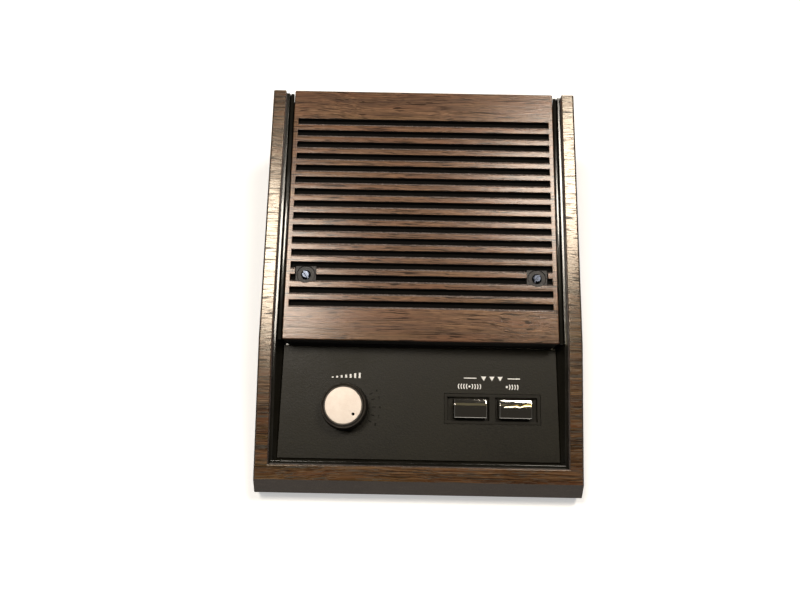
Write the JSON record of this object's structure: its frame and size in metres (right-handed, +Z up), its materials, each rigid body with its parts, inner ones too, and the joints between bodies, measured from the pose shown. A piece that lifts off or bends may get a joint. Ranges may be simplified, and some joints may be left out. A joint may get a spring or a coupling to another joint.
{
  "type": "desk intercom",
  "caption": "Wedge-shaped desk intercom: slotted wood-grain speaker grille in a U-shaped wood-grain frame, recessed control panel with a volume knob and two push bars.",
  "frame": {"origin": "centre of the bounding box's footprint, on the desk under the feet", "axes": "+Z up, -Y towards the user (the control end), +X to the user's right"},
  "size_m": [0.2096, 0.2806, 0.0846],
  "materials": {
    "charcoal_plastic": "matte charcoal moulding",
    "wood_grain": "walnut-grain foil on a charcoal moulding, low sheen",
    "black_gloss": "gloss black moulding",
    "panel_charcoal": "fine textured charcoal paint",
    "black_cloth": "black open weave",
    "screw_steel": "zinc plated",
    "chrome": "bright plated",
    "black_plastic": "semi-matt black",
    "satin_cap": "satin, warm champagne",
    "rubber_black": "matt black",
    "steel": "plain",
    "brass": "plain",
    "tinned": "tinned",
    "board": "phenolic board",
    "paper": "dark pressed paper",
    "ferrite": "sintered"
  },
  "bodies": {
    "case": {"housing": "charcoal_plastic", "base_cover": "black_plastic", "base_screws": "screw_steel", "rubber_feet": "rubber_black", "trim_frame": "wood_grain", "tray": "black_gloss", "tray_screws": "screw_steel", "grille": "wood_grain", "speaker_cloth": "black_cloth", "front_screws": "screw_steel", "control_panel": "panel_charcoal", "button_bezel": "black_plastic", "button_spring_left": "steel", "button_spring_right": "steel", "switch_left": "black_plastic", "switch_right": "black_plastic", "switch_lugs": "tinned", "switch_board": "board", "board_screws": "screw_steel", "pot_body": "steel", "pot_bushing": "brass", "pot_washer": "steel", "pot_nut": "steel", "pot_lugs": "tinned", "speaker_gasket": "paper", "speaker_spacers": "black_plastic", "speaker_basket": "steel", "speaker_screws": "screw_steel", "speaker_surround": "paper", "speaker_spider": "black_cloth", "speaker_top_plate": "steel", "speaker_magnet": "ferrite", "speaker_yoke": "steel", "cable_grommet": "rubber_black", "terminal_strip": "board", "terminal_screws": "brass", "strip_screws": "screw_steel"},
    "volume_control": {"volume_knob": "black_plastic", "knob_cap": "satin_cap", "pot_shaft": "brass"},
    "left_bar": {"button_left": "chrome"},
    "right_bar": {"button_right": "chrome"},
    "cone": {"speaker_cone": "paper", "speaker_dust_cap": "paper", "speaker_voice_coil": "brass"}
  },
  "joints": [
    {"name": "volume_turn", "type": "hinge", "parent": "case", "child": "volume_control", "pos_m": [-0.0488, -0.08643, 0.02435], "axis": [0, -0.2079, 0.9781], "range_deg": [-20, 280]},
    {"name": "left_bar_press", "type": "slide", "parent": "case", "child": "left_bar", "axis": [0, 0.2079, -0.9781], "range_m": [0, 0.003], "stiffness_N_per_m": 200, "springref_m": -0.005, "deforming": ["button_spring_left"]},
    {"name": "right_bar_press", "type": "slide", "parent": "case", "child": "right_bar", "axis": [0, 0.2079, -0.9781], "range_m": [0, 0.003], "stiffness_N_per_m": 200, "springref_m": -0.005, "deforming": ["button_spring_right"]},
    {"name": "cone_travel", "type": "slide", "parent": "case", "child": "cone", "axis": [0, -0.2079, 0.9781], "range_m": [-0.001, 0.001], "stiffness_N_per_m": 600, "deforming": ["speaker_surround", "speaker_spider"]}
  ]
}
